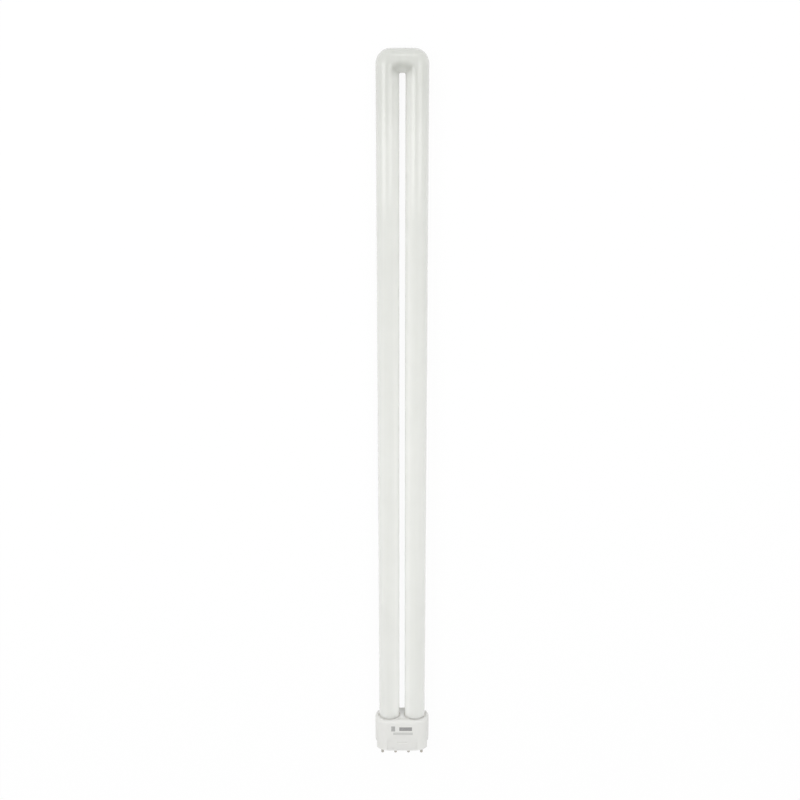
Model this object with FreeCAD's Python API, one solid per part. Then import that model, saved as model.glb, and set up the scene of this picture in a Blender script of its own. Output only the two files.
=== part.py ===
import FreeCAD, Part
import math
import os

# Long twin-tube fluorescent lamp: one glass tube bent to a narrow U, held in a moulded four-pin cap.
# The lamp lies on its broad side: +Y runs from the cap to the bend, +X across the legs, +Z up.
# The origin is the centre of the cap's seating face. All sizes are millimetres.

# Glass tube
tube_diameter = 17.0
tube_gap = 4.3
glass_showing = 534.4
bend_inner_radius = 1.1
bend_corner_radius = 10.8
crease_sharpness = 6.0
turn_section_count = 14
leg_shoulder = 4.0
press_width = 13.0
press_thickness = 4.4
press_length = 7.0
press_edge_radius = 1.8
exhaust_stub_diameter = 5.0
exhaust_stub_length = 2.2
exhaust_stub_taper = 1.3

# Moulded cap
cap_end_flat = 2.6
cap_top_radius = 3.0
skirt_height = 8.6
skirt_end_inset = 1.35
skirt_wall = 1.5
skirt_lift = 2.7
tongue_width = 17.2
tongue_rise = 1.8
tongue_corner_radius = 0.8
plate_ledge = 0.9
socket_wall = 2.2
socket_clearance = 0.6
socket_end_clearance = 0.6
cement_clearance = 0.4
cement_length = 8.5
groove_depth = 0.5

# Latch relief on both broad faces of the cap, with the bar that the holder's spring hooks over
relief_width = 25.0
relief_side_height = 10.8
relief_crown_height = 17.0
relief_depth = 0.7
latch_bar_width = 9.0
latch_bar_thickness = 1.4
latch_bar_rise = 8.2

# Pin plate
plate_thickness = 4.4
plate_clearance = 0.15
plate_chamfer = 1.8

# Contact pins and the lead wires inside them
pin_count = 4
pin_spacing = 11.0
pin_diameter = 2.4
pin_length = 6.8
pin_root_diameter = 3.0
pin_tip_taper = 0.9
pin_bore = 1.2
pin_end_wall = 1.4
pin_flange_diameter = 3.8
pin_flange_thickness = 0.8
pin_flange_clearance = 0.3
wire_diameter = 0.7
wire_straight = 0.9
lead_spacing = 8.4
lead_room = 5.0

# How far a cutter reaches past the piece it cuts
cut_margin = 1.0

# Sizes that follow from the ones above
tube_radius = tube_diameter / 2
leg_x = (tube_diameter + tube_gap) / 2
pin_head_y = plate_thickness + pin_flange_thickness
press_end_y = pin_head_y + lead_room
leg_end_y = press_end_y + press_length
socket_radius = tube_radius + socket_clearance
socket_end_y = leg_end_y - socket_end_clearance
cement_low_y = leg_end_y + leg_shoulder + cement_clearance
cap_height = cement_low_y + cement_length + groove_depth
crown_y = cap_height + glass_showing
bend_pivot = FreeCAD.Vector(tube_gap / 2 - bend_inner_radius,
                            crown_y - tube_diameter - bend_inner_radius, 0)
outer_pin_x = pin_spacing * (pin_count - 1) / 2
pin_hollow_half = outer_pin_x + pin_flange_diameter / 2 + pin_flange_clearance
skirt_width = 2 * max(leg_x + socket_radius + socket_wall - skirt_end_inset,
                      pin_hollow_half + plate_ledge + skirt_wall)
cap_width = skirt_width + 2 * skirt_end_inset
cap_thickness = 2 * (socket_radius + socket_wall)
cap_corner_radius = (cap_thickness - cap_end_flat) / 2

ALONG_Y = FreeCAD.Vector(0, 1, 0)


def rounded_block(width, thickness, corner_radius, low_y, high_y, middle_x=0.0):
    """Return a block that runs along Y and has a rounded rectangle as its section."""
    corner = FreeCAD.Vector(middle_x - width / 2, low_y, -thickness / 2)
    block = Part.makeBox(width, high_y - low_y, thickness, corner)
    long_edges = [edge for edge in block.Edges if abs(edge.tangentAt(0).y) > 0.5]
    return block.makeFillet(corner_radius, long_edges)


def edges_at_height(shape, height):
    """Return the edges that lie wholly in the plane y = height."""
    return [edge for edge in shape.Edges if edge.BoundBox.YLength < 1e-4
            and abs(edge.BoundBox.YMin - height) < 1e-4]


def rounded_rim(shape, height, radius):
    """Return the shape with its rim at this height rounded by three bevels that touch one arc."""
    wide = radius * (2 - math.sqrt(2))
    narrow = radius * (math.tan(math.pi / 8) - math.tan(math.pi / 16))
    shape = shape.makeChamfer(wide, edges_at_height(shape, height))
    return shape.makeChamfer(narrow, edges_at_height(shape, height) + edges_at_height(shape, height - wide))


def half_ellipse(centre, outward, reach):
    """Return half a section: an ellipse arc from the lamp's underside to its top, reaching outward."""
    circle = Part.Circle(FreeCAD.Vector(0, 0, 0), FreeCAD.Vector(0, 0, 1), 1.0)
    arc = Part.ArcOfCircle(circle, -math.pi / 2, math.pi / 2).toBSpline()
    poles = [centre + outward * (reach * pole.x) + FreeCAD.Vector(0, 0, tube_radius * pole.y)
             for pole in arc.getPoles()]
    curve = Part.BSplineCurve()
    curve.buildFromPolesMultsKnots(poles, arc.getMultiplicities(), arc.getKnots(), False,
                                   arc.Degree, arc.getWeights())
    return curve.toShape()


def outline_reach(cosine, sine):
    """Return how far the bend's outer outline, a square with a rounded corner, lies from its pivot."""
    half_square = bend_inner_radius + tube_diameter
    straight = half_square / max(cosine, sine)
    arc_centre = half_square - bend_corner_radius
    if straight * min(cosine, sine) <= arc_centre:
        return straight
    along = arc_centre * (cosine + sine)
    return along + math.sqrt(bend_corner_radius ** 2 - 2 * arc_centre ** 2 + along ** 2)


def bend_section(degrees):
    """Return the tube's section in the plane that the bend's pivot line turns to this angle."""
    cosine, sine = math.cos(math.radians(degrees)), math.sin(math.radians(degrees))
    outward = FreeCAD.Vector(cosine, sine, 0)
    softened = (cosine ** crease_sharpness + sine ** crease_sharpness) ** (-1 / crease_sharpness)
    axis_reach = (bend_inner_radius + tube_radius) * softened
    centre = bend_pivot + outward * axis_reach
    outer_half = half_ellipse(centre, outward, outline_reach(cosine, sine) - axis_reach)
    inner_half = half_ellipse(centre, outward, bend_inner_radius - axis_reach)
    inner_half.reverse()
    return Part.Wire([outer_half, inner_half])


def glass_bend():
    """Return the squared-off bend: two lofted quarter turns and the short straight between them."""
    last = turn_section_count - 1
    turn = Part.makeLoft([bend_section(90.0 * i / last) for i in range(turn_section_count)], True)
    middle = Part.makeCylinder(tube_radius, 2 * bend_pivot.x,
                               FreeCAD.Vector(-bend_pivot.x, crown_y - tube_radius, 0),
                               FreeCAD.Vector(1, 0, 0))
    return [turn, turn.mirror(FreeCAD.Vector(0, 0, 0), FreeCAD.Vector(1, 0, 0)), middle]


def glass_leg(x):
    """Return one straight leg with its tapered shoulder, the flat press below it and the exhaust stub."""
    tube = Part.makeCylinder(tube_radius, bend_pivot.y - leg_end_y, FreeCAD.Vector(x, leg_end_y, 0), ALONG_Y)
    tube = tube.makeChamfer(leg_shoulder, edges_at_height(tube, leg_end_y))
    press = rounded_block(press_width, press_thickness, press_edge_radius,
                          press_end_y, leg_end_y + leg_shoulder, x)
    stub_tip_y = press_end_y - exhaust_stub_length
    stub = Part.makeCylinder(exhaust_stub_diameter / 2, leg_end_y - stub_tip_y,
                             FreeCAD.Vector(x, stub_tip_y, 0), ALONG_Y)
    stub = stub.makeChamfer(exhaust_stub_taper, edges_at_height(stub, stub_tip_y))
    return [tube, press, stub]


def discharge_tube():
    """Return the sealed glass tube, from one press round the bend to the other, as one solid."""
    pieces = glass_leg(-leg_x) + glass_leg(leg_x) + glass_bend()
    return pieces[0].multiFuse(pieces[1:]).removeSplitter()


def latch_relief(face_z, depth):
    """Return the cutter for the arched relief on the broad face at height face_z."""
    half = relief_width / 2
    low_left, low_right = FreeCAD.Vector(-half, -cut_margin, 0), FreeCAD.Vector(half, -cut_margin, 0)
    left, right = FreeCAD.Vector(-half, relief_side_height, 0), FreeCAD.Vector(half, relief_side_height, 0)
    crown = FreeCAD.Vector(0, relief_crown_height, 0)
    outline = Part.Wire([Part.makeLine(low_left, left), Part.Arc(left, crown, right).toShape(),
                         Part.makeLine(right, low_right), Part.makeLine(low_right, low_left)])
    cutter = Part.Face(outline).extrude(FreeCAD.Vector(0, 0, 2 * depth))
    return cutter.translated(FreeCAD.Vector(0, 0, face_z - depth))


def latch_bar(side):
    """Return the bar in one relief; its outer face is flush with the cap's broad face."""
    bar = Part.makeBox(latch_bar_width, latch_bar_thickness, 2 * relief_depth,
                       FreeCAD.Vector(-latch_bar_width / 2, latch_bar_rise, 0))
    middle_z = side * (cap_thickness / 2 - relief_depth)
    return bar.translated(FreeCAD.Vector(0, 0, middle_z - relief_depth))


def skirt_notch(side):
    """Return the cutter for one end of the skirt: a flat set back from the cap's end, and a higher rim."""
    outer_x = cap_width / 2 + cut_margin
    deep = cap_thickness + 2 * cut_margin
    flat = Part.makeBox(outer_x - skirt_width / 2, skirt_height + cut_margin, deep,
                        FreeCAD.Vector(skirt_width / 2, -cut_margin, -deep / 2))
    inner_x = tongue_width / 2
    lift = Part.makeBox(outer_x - inner_x, 2 * skirt_lift, deep,
                        FreeCAD.Vector(inner_x, -skirt_lift, -deep / 2))
    root = [edge for edge in lift.Edges if edge.BoundBox.ZLength > cap_thickness
            and edge.BoundBox.XMax < skirt_width / 2 and edge.BoundBox.YMin > 0]
    notch = lift.makeFillet(tongue_corner_radius, root).fuse(flat)
    if side < 0:
        notch = notch.mirror(FreeCAD.Vector(0, 0, 0), FreeCAD.Vector(1, 0, 0))
    return notch


def cap_inside(wall, low_y, high_y):
    """Return the block that lies inside the skirt by this wall, between two heights."""
    return rounded_block(skirt_width - 2 * wall, cap_thickness - 2 * wall, cap_corner_radius - wall,
                         low_y, high_y)


def cap_shell():
    """Return the moulded cap: rounded body, stepped skirt, two tube sockets and the hollow below."""
    shell = rounded_block(cap_width, cap_thickness, cap_corner_radius, tongue_rise, cap_height)
    shell = rounded_rim(shell, cap_height, cap_top_radius)
    for side in (-1, 1):
        shell = shell.cut(skirt_notch(side))
        shell = shell.cut(latch_relief(side * cap_thickness / 2, relief_depth))
        shell = shell.fuse(latch_bar(side))
    shell = shell.cut(cap_inside(skirt_wall, -cut_margin, plate_thickness))
    shell = shell.cut(cap_inside(skirt_wall + plate_ledge, 0, socket_end_y))
    for x in (-leg_x, leg_x):
        shell = shell.cut(Part.makeCylinder(socket_radius, cap_height - socket_end_y,
                                            FreeCAD.Vector(x, socket_end_y, 0), ALONG_Y))
    return shell.removeSplitter()


def cement_ring(x):
    """Return the cement between one leg and its socket, set back below the cap's top face."""
    low = FreeCAD.Vector(x, cement_low_y, 0)
    outside = Part.makeCylinder(socket_radius, cement_length, low, ALONG_Y)
    return outside.cut(Part.makeCylinder(tube_radius, cement_length, low, ALONG_Y))


def pin_plate():
    """Return the plate that closes the cap and carries the pins; its lower face is the seating face."""
    plate = cap_inside(skirt_wall + plate_clearance, 0, plate_thickness)
    plate = plate.makeChamfer(plate_chamfer, edges_at_height(plate, 0))
    for x in pin_places():
        plate = plate.cut(Part.makeCylinder(pin_root_diameter / 2, plate_thickness,
                                            FreeCAD.Vector(x, 0, 0), ALONG_Y))
    return plate


def pin_places():
    """Return the x of each pin, from left to right."""
    return [pin_spacing * i - outer_pin_x for i in range(pin_count)]


def lead_places():
    """Return the x of each lead wire where it leaves its press, from left to right."""
    return [x + side * lead_spacing / 2 for x in (-leg_x, leg_x) for side in (-1, 1)]


def contact_pin(x):
    """Return one hollow pin: flange on the plate, root in the plate, tapered tip and blind bore."""
    shank, root = pin_diameter / 2, pin_root_diameter / 2
    flange, bore = pin_flange_diameter / 2, pin_bore / 2
    outline = [(0, -pin_length),
               (shank - pin_tip_taper, -pin_length),
               (shank, -pin_length + pin_tip_taper),
               (shank, 0), (root, 0), (root, plate_thickness), (flange, plate_thickness),
               (flange, pin_head_y), (bore, pin_head_y),
               (bore, -pin_length + pin_end_wall), (0, -pin_length + pin_end_wall), (0, -pin_length)]
    profile = Part.Face(Part.makePolygon([FreeCAD.Vector(radius, y, 0) for radius, y in outline]))
    pin = profile.revolve(FreeCAD.Vector(0, 0, 0), ALONG_Y, 360)
    return pin.translated(FreeCAD.Vector(x, 0, 0))


def lead_wire(lead_x, pin_x):
    """Return one lead wire, from the press, across to its pin and down to the bottom of the bore."""
    top = FreeCAD.Vector(lead_x, press_end_y, 0)
    path = Part.makePolygon([top, FreeCAD.Vector(lead_x, press_end_y - wire_straight, 0),
                             FreeCAD.Vector(pin_x, pin_head_y + wire_straight, 0),
                             FreeCAD.Vector(pin_x, -pin_length + pin_end_wall, 0)])
    section = Part.Wire([Part.makeCircle(wire_diameter / 2, top, ALONG_Y)])
    return path.makePipeShell([section], True, False, 1)


def all_nodes():
    """Return each sub-part under its node's name."""
    nodes = {"discharge_tube": discharge_tube(), "cap_shell": cap_shell(), "pin_plate": pin_plate(),
             "cement_ring_left": cement_ring(-leg_x), "cement_ring_right": cement_ring(leg_x)}
    for number, (lead_x, pin_x) in enumerate(zip(lead_places(), pin_places()), start=1):
        nodes[f"contact_pin_{number}"] = contact_pin(pin_x)
        nodes[f"lead_wire_{number}"] = lead_wire(lead_x, pin_x)
    return nodes


os.makedirs("parts", exist_ok=True)
for name, shape in all_nodes().items():
    solid = shape.Solids[0]
    solid.exportStep(f"parts/{name}.step")
    print(name, len(shape.Solids), "solid,", len(solid.Faces), "faces,", round(solid.Volume, 2), "mm3, valid",
          solid.isValid())
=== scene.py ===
import math

import bmesh
import bpy
import numpy as np
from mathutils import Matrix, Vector


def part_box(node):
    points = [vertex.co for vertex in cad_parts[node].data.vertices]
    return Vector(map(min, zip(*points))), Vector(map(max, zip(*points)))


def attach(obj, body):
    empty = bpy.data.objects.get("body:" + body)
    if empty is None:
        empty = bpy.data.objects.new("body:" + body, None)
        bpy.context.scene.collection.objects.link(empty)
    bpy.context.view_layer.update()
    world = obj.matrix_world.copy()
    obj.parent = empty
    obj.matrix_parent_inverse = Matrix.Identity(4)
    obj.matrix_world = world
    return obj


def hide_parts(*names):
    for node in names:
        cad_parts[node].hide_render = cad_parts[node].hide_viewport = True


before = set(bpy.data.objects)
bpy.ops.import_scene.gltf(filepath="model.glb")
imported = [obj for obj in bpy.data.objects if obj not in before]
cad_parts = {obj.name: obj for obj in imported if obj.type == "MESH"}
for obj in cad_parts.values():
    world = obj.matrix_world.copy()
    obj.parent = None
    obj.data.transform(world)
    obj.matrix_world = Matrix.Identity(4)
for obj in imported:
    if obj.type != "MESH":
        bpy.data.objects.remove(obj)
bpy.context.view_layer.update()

# Discharge tube
# One soft-glass tube, coated inside with white powder, bent to a narrow U and blown square in a mould at
# the bend. Each end is pinched flat round its leads and keeps the stub that it was pumped out through.
tube_low, tube_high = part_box("discharge_tube")
tube_radius = tube_high.z
leg_x = tube_high.x - tube_radius
bend_inner_radius = 0.0011
bend_corner_radius = 0.0108
bend_softness = 6.0
bend_pivot_x = leg_x - tube_radius - bend_inner_radius
bend_pivot_y = tube_high.y - 2 * tube_radius - bend_inner_radius
exhaust_stub_radius = 0.0025
exhaust_stub_length = 0.0022
exhaust_stub_taper = 0.0013
press_length = 0.007
press_half_width = 0.0065
press_half_thickness = 0.0022
press_squareness = 6.0
ellipse_squareness = 2.0
shoulder_length = 0.004
points_round_tube = 112
bend_steps = 72
shoulder_steps = 16
crease_angle = math.radians(38)
powder_white = (0.93, 0.935, 0.91, 1.0)
powder_grey_and_painted_shade = (0.45, 0.46, 0.42, 1.0)
# Each pair is where a change in the coating's colour starts and ends: the painted shade inside the turn, the
# painted light on the facing flanks, the greying and the bend. The first three are distances from the bend's
# pivot lines, and the others are heights along the lamp.
turn_shade_starts = (0.001, 0.0055)
turn_shade_ends = (0.006, 0.0105)
flank_light_ends = (0.001, 0.008)
greying = (0.3 * bend_pivot_y, bend_pivot_y)
last_greying = (0.9 * bend_pivot_y, bend_pivot_y)
bend_starts = (bend_pivot_y - 0.004, bend_pivot_y + 0.006)


class Shade:
    """A value in a material: it wraps one socket, and arithmetic on it adds Math nodes."""

    def __init__(self, tree, socket=None):
        self.tree = tree
        self.socket = socket

    def node(self, kind, settings, values, output=0):
        """Add a node, its settings first and then its sockets' values or links, and return one output."""
        made = self.tree.nodes.new(kind)
        for name, setting in settings.items():
            setattr(made, name, setting)
        for name, value in values.items():
            if isinstance(value, Shade):
                self.tree.links.new(value.socket, made.inputs[name])
            else:
                made.inputs[name].default_value = value
        return Shade(self.tree, made.outputs[output] if made.outputs else None)

    def maths(self, operation, *values):
        """Add a Math node on these values."""
        return self.node("ShaderNodeMath", {"operation": operation}, dict(enumerate(values)))

    def __add__(self, other):
        return self.maths("ADD", self, other)

    def __sub__(self, other):
        return self.maths("SUBTRACT", self, other)

    def __rsub__(self, other):
        return self.maths("SUBTRACT", other, self)

    def __mul__(self, other):
        return self.maths("MULTIPLY", self, other)

    def __abs__(self):
        return self.maths("ABSOLUTE", self)

    __radd__ = __add__
    __rmul__ = __mul__

    def most(self, other):
        """Return the larger of this value and another."""
        return self.maths("MAXIMUM", self, other)

    def above(self, limit):
        """Return 1 where this value is above the limit, and 0 elsewhere."""
        return self.maths("GREATER_THAN", self, limit)

    def rise(self, low, high):
        """Return 0 below low and 1 above high, with a smooth change between them."""
        return self.node("ShaderNodeMapRange", {"interpolation_type": "SMOOTHSTEP"},
                         {"Value": self, "From Min": low, "From Max": high})

    def fall(self, low, high):
        """Return 1 below low and 0 above high, with a smooth change between them."""
        return 1 - self.rise(low, high)

    def mix(self, first, second):
        """Return the first colour where this value is 0 and the second where it is 1.

        The node's sockets are numbered: 0 is the factor and 6 and 7 are its two colours.
        """
        return self.node("ShaderNodeMix", {"data_type": "RGBA"}, {0: self, 6: first, 7: second}, 2)

    def axes(self, names):
        """Return this place's distances along the named axes."""
        return [self.node("ShaderNodeSeparateXYZ", {}, {"Vector": self}, name) for name in names]

    def stretched(self, scales):
        """Return this place with each direction scaled, to stretch a pattern that is laid on it."""
        return self.node("ShaderNodeMapping", {}, {"Vector": self, "Scale": scales})

    def noise(self, scale, detail):
        """Return noise from 0 to 1 at this place."""
        return self.node("ShaderNodeTexNoise", {}, {"Vector": self, "Scale": scale, "Detail": detail})

    def bumps(self, distance):
        """Return the surface's normal, raised by up to this distance where this value is 1."""
        return self.node("ShaderNodeBump", {}, {"Height": self, "Strength": 1.0, "Distance": distance})


def placed(name, data):
    """Put a new object with this mesh, light or camera in the scene, at the origin."""
    made = bpy.data.objects.new(name, data)
    bpy.context.scene.collection.objects.link(made)
    return made


def bare_material(name):
    """Return a new material with no nodes, and the place on the piece that its patterns read."""
    material = bpy.data.materials.new(name)
    material.use_nodes = True
    material.node_tree.nodes.clear()
    return material, Shade(material.node_tree).node("ShaderNodeTexCoord", {}, {}, "Object")


def cover(place, values):
    """Finish a material: one Principled shader with these values, on the output."""
    shader = place.node("ShaderNodeBsdfPrincipled", {}, values)
    place.node("ShaderNodeOutputMaterial", {}, {"Surface": shader})


def skin(name, rings, tips=None):
    """Return a closed mesh over a grid of points: rings[i, j] is point j of ring i along a path.

    Each ring turns right-handed about the path, so the faces point outwards. With tips, the first and
    last ring close to those two points. Without tips, the last ring joins the first again.
    """
    count, around = rings.shape[:2]
    i, j = np.meshgrid(np.arange(count - 1 if tips else count), np.arange(around), indexing="ij")
    after_i, after_j = (i + 1) % count, (j + 1) % around
    quads = np.stack([i * around + j, i * around + after_j,
                      after_i * around + after_j, after_i * around + j], axis=-1)
    points = rings.reshape(-1, 3)
    faces = quads.reshape(-1, 4).tolist()
    if tips:
        points = np.vstack([points, tips])
        first, last = count * around, count * around + 1
        here = np.arange(around)
        following = (here + 1) % around
        end = (count - 1) * around
        faces += np.stack([np.full(around, first), following, here], axis=-1).tolist()
        faces += np.stack([np.full(around, last), end + here, end + following], axis=-1).tolist()
    mesh = bpy.data.meshes.new(name)
    mesh.from_pydata(points.tolist(), [], faces)
    mesh.shade_smooth()
    mesh.set_sharp_from_angle(angle=crease_angle)
    return mesh


def fitted(name, mesh, material, slot, *replaced):
    """Put a finished mesh in the scene as a piece that stands for CAD nodes."""
    made = placed(name, mesh)
    mesh.materials.clear()
    mesh.materials.append(material)
    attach(made, "root")
    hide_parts(*replaced)
    return made


def leg_stations():
    """Return one leg's stations, from its stub's tip to the bend, as one row of four numbers each.

    A row is the height along the lamp and then the section: its half width, its half thickness and its
    squareness (2 is an ellipse, more is a rounded rectangle). Over the shoulder between the press and
    the round tube, they change by three times the share's square less twice its cube.
    """
    tip = tube_low.y
    press_low = tip + exhaust_stub_length
    press_high = press_low + press_length
    stub_tip_radius = exhaust_stub_radius - exhaust_stub_taper
    stub_section = (exhaust_stub_radius, exhaust_stub_radius, ellipse_squareness)
    press_section = np.array([press_half_width, press_half_thickness, press_squareness])
    tube_section = np.array([tube_radius, tube_radius, ellipse_squareness])
    stub = [(tip, stub_tip_radius, stub_tip_radius, ellipse_squareness),
            (tip + exhaust_stub_taper, *stub_section), (press_low, *stub_section)]
    press = [(press_low, *press_section), (press_high, *press_section)]
    share = np.linspace(0, 1, shoulder_steps + 1)[1:, None]
    step = share ** 2 * (3 - 2 * share)
    shoulder = np.hstack([press_high + shoulder_length * share,
                          press_section + (tube_section - press_section) * step])
    return np.vstack([stub, press, shoulder, (bend_pivot_y, *tube_section)])


def outline_reach(cosine, sine):
    """Return how far the bend's outer outline, a square with a rounded corner, lies from its pivot.

    A flat side is met at half the square over the larger of the cosine and the sine. The corner's arc is
    met at the farther root of its circle's equation. The side holds as far as the arc starts.
    """
    half_square = bend_inner_radius + 2 * tube_radius
    straight = half_square / np.maximum(cosine, sine)
    arc_centre = half_square - bend_corner_radius
    along = arc_centre * (cosine + sine)
    rounded = along + np.sqrt(np.maximum(bend_corner_radius ** 2 - 2 * arc_centre ** 2 + along ** 2, 0))
    return np.where(straight * np.minimum(cosine, sine) <= arc_centre, straight, rounded)


def tube_rings():
    """Return the rings of the whole tube, from the right leg's stub, round the bend, to the left one's.

    A ring's point is its centre plus its half widths times the cosine and the sine of an angle, each
    raised to 2 over the squareness. In the bend a ring's plane turns about the pivot. Its inner half
    reaches the inner radius and its outer half the outline. Its centre follows a softened square: the
    turn's cosine and sine, raised to the softness and added, raised to minus one over the softness.
    """
    legs = leg_stations()
    turn = np.radians(np.linspace(0, 90, bend_steps + 1)[1:])
    cosine, sine = np.cos(turn), np.sin(turn)
    softened = (cosine ** bend_softness + sine ** bend_softness) ** (-1 / bend_softness)
    middle = (bend_inner_radius + tube_radius) * softened
    outward, centre = np.zeros((2, len(legs) + len(turn), 3))
    outward[:, 0] = np.append(np.ones(len(legs)), cosine)
    outward[:, 1] = np.append(np.zeros(len(legs)), sine)
    centre[:, 0] = np.append(np.full(len(legs), leg_x), bend_pivot_x + middle * cosine)
    centre[:, 1] = np.append(legs[:, 0], bend_pivot_y + middle * sine)
    reach_out = np.append(legs[:, 1], outline_reach(cosine, sine) - middle)
    reach_in = np.append(legs[:, 1], middle - bend_inner_radius)
    half_thickness = np.append(legs[:, 2], np.full(len(turn), tube_radius))
    squareness = np.append(legs[:, 3], np.full(len(turn), ellipse_squareness))
    angle = np.linspace(0, 2 * math.pi, points_round_tube, endpoint=False)
    across, down = [np.sign(wave) * np.abs(wave) ** (2 / squareness[:, None])
                    for wave in (np.cos(angle), np.sin(angle))]
    reach = np.where(across > 0, reach_out[:, None], reach_in[:, None])
    right = centre[:, None, :] + outward[:, None, :] * (reach * across)[:, :, None]
    right[:, :, 2] -= half_thickness[:, None] * down
    left = right[::-1] * np.array([-1.0, 1.0, 1.0])
    return np.concatenate([right, left])


def coated_glass():
    """Return clear glossy glass over white powder, which is greyer towards the bend.

    A band inside the turn is darkened with painted shade, and the two flanks that face each other are
    lightened with painted light, where they lie in shade. Faint streaks show where it drained, and clouds
    where it dried.
    """
    material, place = bare_material("coated_glass")
    across, along = place.axes("XY")
    far_in = (abs(across) - bend_pivot_x).most(0.0)
    far_up = (along - bend_pivot_y).most(0.0)
    from_pivot = place.maths("SQRT", far_in * far_in + far_up * far_up)
    at_bend = along.rise(*bend_starts)
    # Painted shade: a band inside the turn is greyed, where the turn's lower half lies in shade.
    painted_turn_shade = at_bend * (from_pivot.rise(*turn_shade_starts) - from_pivot.rise(*turn_shade_ends))
    # Painted light: the flanks that face each other across the gap are whitened, where they lie in shade.
    painted_flank_light = from_pivot.fall(*flank_light_ends) * (1 - at_bend)
    drained = place.stretched((900.0, 14.0, 900.0)).noise(0.35, 3.0) - 0.5
    clouded = place.noise(55.0, 4.0) - 0.5
    # How grey the coating is: 0 is white and 1 is grey. Painted shade inside the turn adds to it, and
    # painted light on the facing flanks takes from it.
    grey_with_painted_shade_and_light = along.rise(*greying) * 0.13 + along.rise(*last_greying) * 0.12 + painted_turn_shade * 0.25 \
        + drained * 0.11 + clouded * 0.11 + 0.34 - painted_flank_light * 0.25
    cover(place, {"Base Color": grey_with_painted_shade_and_light.mix(powder_white, powder_grey_and_painted_shade),
                  "Roughness": place.noise(1600.0, 2.0) * 0.1 + 0.55, "Specular IOR Level": 0.25,
                  "Subsurface Weight": 1.0, "Subsurface Radius": (1.0, 1.0, 1.0), "Subsurface Scale": 0.008,
                  "Coat Weight": 1.0, "Coat Roughness": 0.12, "Coat IOR": 1.5,
                  "Normal": place.noise(38.0, 1.0).bumps(0.00003)})
    return material


stub_tips = [(leg_x, tube_low.y, 0.0), (-leg_x, tube_low.y, 0.0)]
tube_mesh = skin("coated_tube", tube_rings(), stub_tips)
fitted("coated_tube", tube_mesh, coated_glass(), "coated_glass", "discharge_tube")

# Moulded cap
# White glass-filled plastic, moulded in one piece with the two sockets, the arched relief for the holder's
# spring and the stepped skirt. Its edges are softened as a mould leaves them. The print is plain bars.
cap_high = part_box("cap_shell")[1]
cap_edge_round = 0.00022
join_distance = 0.0000001
flat_angle = math.radians(0.5)
sharp_angle = math.radians(40)
rounding_segments = 3
cap_whites = ((0.775, 0.775, 0.745, 1.0), (0.795, 0.795, 0.77, 1.0))
# The painted light on the shaded wall between the sockets fades over these stretches of x, y and z.
wall_half_width = (0.0016, 0.005)
wall_top_y = (cap_high.y - 0.003, cap_high.y - 0.001)
wall_half_height = (0.003, 0.0085)
painted_light_white = (0.95, 0.95, 0.935, 1.0)
# A bar of print is its middle's x and y, half its width, half its height and its darkness.
print_bars = [(0.0030, 0.0229, 0.0053, 0.0017, 0.75), (-0.0074, 0.0231, 0.0016, 0.0024, 0.58),
              (0.0008, 0.0185, 0.0082, 0.0012, 0.3)]
print_soft_edge = 0.0001
print_face_z = cap_high.z - 0.0004
print_grey = (0.16, 0.16, 0.165, 1.0)


def joined(node, name):
    """Return a copy of a CAD node's mesh with its loose triangles joined into whole faces."""
    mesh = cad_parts[node].data.copy()
    mesh.name = name
    work = bmesh.new()
    work.from_mesh(mesh)
    bmesh.ops.remove_doubles(work, verts=work.verts, dist=join_distance)
    bmesh.ops.dissolve_limit(work, angle_limit=flat_angle, verts=work.verts, edges=work.edges)
    work.to_mesh(mesh)
    work.free()
    mesh.shade_smooth()
    return mesh


def round_edges(piece, width):
    """Round the piece's sharp edges by this width."""
    bevel = piece.modifiers.new("rounded_edges", "BEVEL")
    bevel.width = width
    bevel.segments = rounding_segments
    bevel.limit_method = "ANGLE"
    bevel.angle_limit = sharp_angle
    bevel.harden_normals = True
    piece.modifiers.new("flat_faces_stay_flat", "WEIGHTED_NORMAL")


def print_bar(x, y, middle_x, middle_y, half_width, half_height, darkness):
    """Return one bar of print: its darkness inside its slightly soft edges, and 0 outside them."""
    across = abs(x - middle_x).fall(half_width - print_soft_edge, half_width + print_soft_edge)
    along = abs(y - middle_y).fall(half_height - print_soft_edge, half_height + print_soft_edge)
    return across * along * darkness


def cap_plastic():
    """Return satin white plastic with a fine moulded grain, and bars of worn grey print on its upper face.

    The wall between the sockets, which lies in shade between the tubes, is whitened with painted light.
    """
    material, place = bare_material("cap_plastic")
    x, y, z = place.axes("XYZ")
    dark_bar, small_bar, faint_bar = [print_bar(x, y, *bar) for bar in print_bars]
    worn = place.noise(2600.0, 3.0).rise(0.2, 0.45)
    printed = (dark_bar + small_bar + faint_bar) * z.above(print_face_z) * worn
    flow = place.stretched((60.0, 25.0, 60.0)).noise(1.0, 3.0)
    # Painted light: the shaded wall between the sockets is made whiter.
    painted_wall_light = abs(x).fall(*wall_half_width) * y.rise(*wall_top_y) * abs(z).fall(*wall_half_height)
    plain = painted_wall_light.mix(flow.mix(*cap_whites), painted_light_white)
    grain = place.noise(2600.0, 2.0)
    cover(place, {"Base Color": printed.mix(plain, print_grey),
                  "Roughness": grain * 0.12 + 0.36 + printed * 0.15, "Specular IOR Level": 0.5,
                  "Subsurface Weight": 0.5, "Subsurface Radius": (1.0, 1.0, 1.0), "Subsurface Scale": 0.003,
                  "Normal": grain.bumps(0.00001)})
    return material


cap_material = cap_plastic()
cap = fitted("moulded_cap", joined("cap_shell", "moulded_cap"), cap_material, "cap_plastic", "cap_shell")
round_edges(cap, cap_edge_round)

# Pin plate
# The flat plate that closes the cap from below and carries the pins. It is moulded from the same plastic
# as the cap, and rests against the ledge inside the cap's skirt.
plate_edge_round = 0.00015
plate_mesh = joined("pin_plate", "moulded_plate")
plate = fitted("moulded_plate", plate_mesh, cap_material, "cap_plastic", "pin_plate")
round_edges(plate, plate_edge_round)

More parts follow.
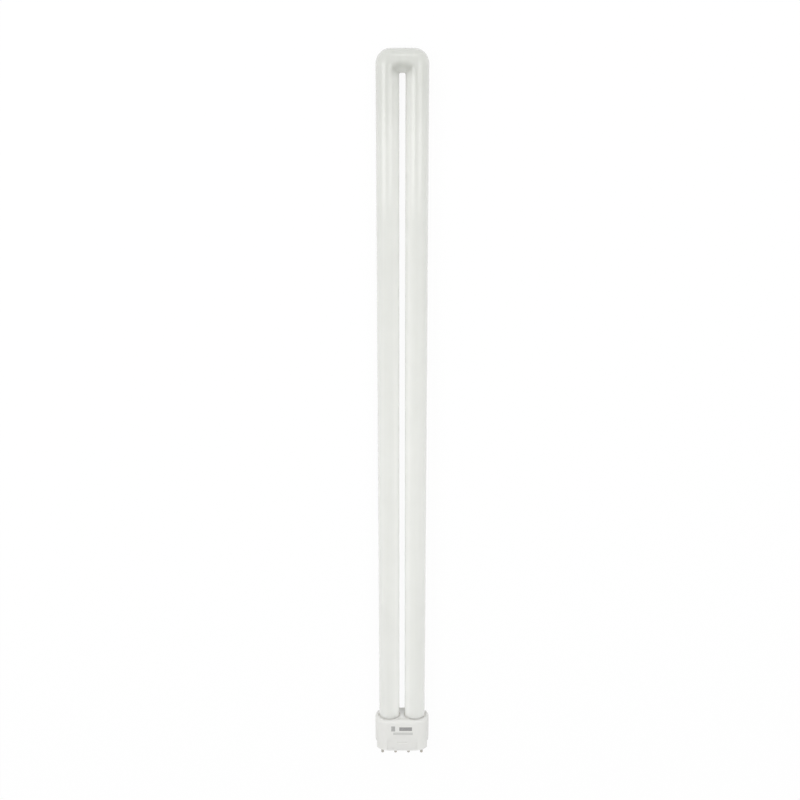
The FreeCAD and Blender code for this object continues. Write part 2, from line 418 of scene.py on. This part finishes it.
# Contact pins
# Four hollow brass pins, drawn with a rounded tip and plated. Each is staked in the plate, with its root
# in the plate's hole and its flange on the plate's inner face. Its bore is open towards its lead.
pin_count = 4
pin_shank_radius = 0.0012
pin_root_radius = 0.0015
pin_root_y = 0.0
pin_flange_height = 0.0008
pin_bore_radius = 0.0006
pin_bore_floor = 0.0014
pin_tip_radius = 0.0009
pin_edge = 0.00008
points_round_pin = 48
points_over_tip = 13
plating_grey = (0.46, 0.45, 0.42, 1.0)
warm_brass = (0.44, 0.37, 0.26, 1.0)


def pin_metal():
    """Return dulled plating over brass, with fine marks round the pin and warmer, thinner patches."""
    material, place = bare_material("pin_metal")
    marks = place.stretched((500.0, 9000.0, 500.0)).noise(1.0, 2.0)
    patches = place.noise(700.0, 3.0).rise(0.45, 0.75)
    cover(place, {"Base Color": patches.mix(plating_grey, warm_brass),
                  "Metallic": 1.0, "Roughness": marks * 0.2 + 0.22, "Normal": marks.bumps(0.000004)})
    return material


def turned(profile, middle_x, around):
    """Return the rings of a shape of revolution about the line along the lamp at middle_x.

    Each row of the profile is a radius and a height, and it goes round by the angle's cosine and sine.
    """
    radius, y = np.array(profile).T
    angle = np.linspace(0, 2 * math.pi, around, endpoint=False)
    rings = np.zeros((len(profile), around, 3))
    rings[:, :, 0] = middle_x + radius[:, None] * np.cos(angle)
    rings[:, :, 1] = y[:, None]
    rings[:, :, 2] = -radius[:, None] * np.sin(angle)
    return rings


def pin_profile(low_y, head_y, flange_radius):
    """Return a pin's profile: a quarter circle over its tip, then up its outside, over its head and
    down its bore. The flange's and the bore's edges are narrow chamfers.
    """
    flange_y = head_y - pin_flange_height
    quarter = np.radians(np.linspace(-90, 0, points_over_tip))
    tip = np.stack([pin_shank_radius - pin_tip_radius + pin_tip_radius * np.cos(quarter),
                    low_y + pin_tip_radius * (1 + np.sin(quarter))], axis=-1)
    return np.vstack([tip, (pin_shank_radius, pin_root_y), (pin_root_radius, pin_root_y),
                      (pin_root_radius, flange_y), (flange_radius, flange_y),
                      (flange_radius, head_y - pin_edge), (flange_radius - pin_edge, head_y),
                      (pin_bore_radius + pin_edge, head_y), (pin_bore_radius, head_y - pin_edge),
                      (pin_bore_radius, low_y + pin_bore_floor)])


pin_material = pin_metal()
for number in range(1, pin_count + 1):
    pin_low, pin_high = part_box(f"contact_pin_{number}")
    pin_x = (pin_low.x + pin_high.x) / 2
    profile = pin_profile(pin_low.y, pin_high.y, pin_high.x - pin_x)
    pin_ends = [(pin_x, pin_low.y, 0.0), (pin_x, pin_low.y + pin_bore_floor, 0.0)]
    pin_mesh = skin(f"plated_pin_{number}", turned(profile, pin_x, points_round_pin), pin_ends)
    fitted(f"plated_pin_{number}", pin_mesh, pin_material, "pin_metal", f"contact_pin_{number}")

# Leads and cement
# Nickel-iron leads run from each press down into the pins. Pale basing cement, baked hard, holds each leg
# in its socket. It has sagged a little below the socket's mouth.
cement_sink = 0.00022
cement_sag = 0.0001
wire_greys = ((0.52, 0.50, 0.47, 1.0), (0.62, 0.60, 0.57, 1.0))
cement_greys = ((0.72, 0.70, 0.65, 1.0), (0.84, 0.82, 0.77, 1.0))
speck_grey = (0.52, 0.49, 0.44, 1.0)


def lead_metal():
    """Return drawn wire with fine marks along it."""
    material, place = bare_material("lead_metal")
    marks = place.stretched((9000.0, 700.0, 9000.0)).noise(1.0, 2.0)
    cover(place, {"Base Color": marks.mix(*wire_greys), "Metallic": 1.0, "Roughness": marks * 0.2 + 0.3})
    return material


def basing_cement():
    """Return matt cement with a coarse grain and darker specks."""
    material, place = bare_material("basing_cement")
    grain = place.noise(1800.0, 5.0)
    specks = place.noise(3200.0, 2.0).rise(0.62, 0.7)
    cover(place, {"Base Color": specks.mix(grain.mix(*cement_greys), speck_grey), "Roughness": 0.92,
                  "Normal": grain.bumps(0.0002)})
    return material


def cement_profile(low_y, top_y, outer_radius):
    """Return the cement's profile: up the socket's wall, over its sagged top and down along the glass."""
    middle = (outer_radius + tube_radius) / 2
    return [(outer_radius, low_y), (outer_radius, top_y), (middle, top_y - cement_sag),
            (tube_radius, top_y), (tube_radius, low_y)]


lead_material = lead_metal()
for number in range(1, pin_count + 1):
    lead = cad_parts[f"lead_wire_{number}"]
    lead.data.materials.clear()
    lead.data.materials.append(lead_material)

cement_material = basing_cement()
for side in ("left", "right"):
    ring_low, ring_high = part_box(f"cement_ring_{side}")
    cement_outline = cement_profile(ring_low.y, cap_high.y - cement_sink, ring_high.z)
    cement_rings = turned(cement_outline, (ring_low.x + ring_high.x) / 2, points_round_tube)
    cement_mesh = skin(f"cement_fill_{side}", cement_rings)
    fitted(f"cement_fill_{side}", cement_mesh, cement_material, "cement", f"cement_ring_{side}")

# Studio
# The bulb lies on a white table and touches it with its cap's rim and its bend. A soft lamp hangs on each
# side of it and one beyond its bend. The camera looks down over the bend, tilted towards the cap.
cap_rim_round = 0.003
cap_rim_y = cap_high.y - cap_rim_round
bend_rest_y = tube_high.y - tube_radius
table_slope = (cap_high.z - tube_radius) / (bend_rest_y - cap_rim_y)
table_half = 4.0
table_white = (0.86, 0.86, 0.86, 1.0)
table_glow = 1.01
table_glow_share = 0.3
table_glow_share_seen = 0.62
pure_white = (1.0, 1.0, 1.0, 1.0)
world_dimming = 0.23
camera_place = (-0.0017, 0.5342, 0.7932)
camera_tilt = math.radians(16.04)
camera_lens = 48.03


def table_height(y):
    """Return the table's height under the lamp: it passes through the cap's rim and the bend's underside."""
    return -cap_high.z + (y - cap_rim_y) * table_slope


def table_top():
    """Return a white table that keeps a soft shadow and shows nearly white to the camera and in gloss."""
    material, place = bare_material("white_table")
    to_camera, to_gloss, through_glass = [place.node("ShaderNodeLightPath", {}, {}, ray) for ray in
                                          ("Is Camera Ray", "Is Glossy Ray", "Is Transmission Ray")]
    seen = to_camera.most(to_gloss).most(through_glass)
    matt = place.node("ShaderNodeBsdfDiffuse", {}, {"Color": table_white})
    glow = place.node("ShaderNodeEmission", {}, {"Color": pure_white, "Strength": table_glow})
    share = seen * table_glow_share_seen + table_glow_share
    blend = place.node("ShaderNodeMixShader", {}, {0: share, 1: matt, 2: glow})
    place.node("ShaderNodeOutputMaterial", {}, {"Surface": blend})
    return material


corner_x, corner_y = table_half * np.array([[-1, 1, 1, -1], [-1, -1, 1, 1]])
table_corners = np.stack([corner_x, corner_y, table_height(corner_y)], axis=-1)
table_mesh = bpy.data.meshes.new("white_table")
table_mesh.from_pydata(table_corners.tolist(), [], [(0, 1, 2, 3)])
table_mesh.materials.append(table_top())
table = placed("white_table", table_mesh)

# The air is white to look at, and a little dimmer where it lights matt surfaces.
world = bpy.data.worlds.new("studio")
bpy.context.scene.world = world
world.use_nodes = True
world.node_tree.nodes.clear()
air = Shade(world.node_tree)
on_matt = air.node("ShaderNodeLightPath", {}, {}, "Is Diffuse Ray")
strength = 1.0 - on_matt * world_dimming
background = air.node("ShaderNodeBackground", {}, {"Color": pure_white, "Strength": strength})
air.node("ShaderNodeOutputWorld", {}, {"Surface": background})


def soft_lamp(name, place, target, level_side, sloping_side, power):
    """Hang a rectangular soft lamp at a place, facing a target, with two level and two sloping sides."""
    lamp = bpy.data.lights.new(name, "AREA")
    lamp.shape = "RECTANGLE"
    lamp.size = level_side
    lamp.size_y = sloping_side
    lamp.energy = power
    hung = placed(name, lamp)
    hung.location = place
    hung.rotation_euler = (Vector(place) - Vector(target)).to_track_quat("Z", "Y").to_euler()


soft_lamp("left_lamp", (-0.67, 0.53, 0.85), (0.0, 0.45, 0.0), level_side=0.44, sloping_side=0.6, power=2.3)
soft_lamp("right_lamp", (0.48, 0.53, 0.95), (0.0, 0.45, 0.0), level_side=0.44, sloping_side=0.6, power=1.7)
soft_lamp("far_lamp", (0.15, 1.7, 1.0), (0.0, 0.3, 0.0), level_side=0.6, sloping_side=0.4, power=1.5)

camera_data = bpy.data.cameras.new("camera")
camera_data.lens = camera_lens
camera_data.sensor_width = 36.0
camera = placed("camera", camera_data)
camera.location = camera_place
camera.rotation_euler = (-camera_tilt, 0.0, 0.0)
bpy.context.scene.camera = camera
bpy.context.scene.view_settings.view_transform = "Standard"
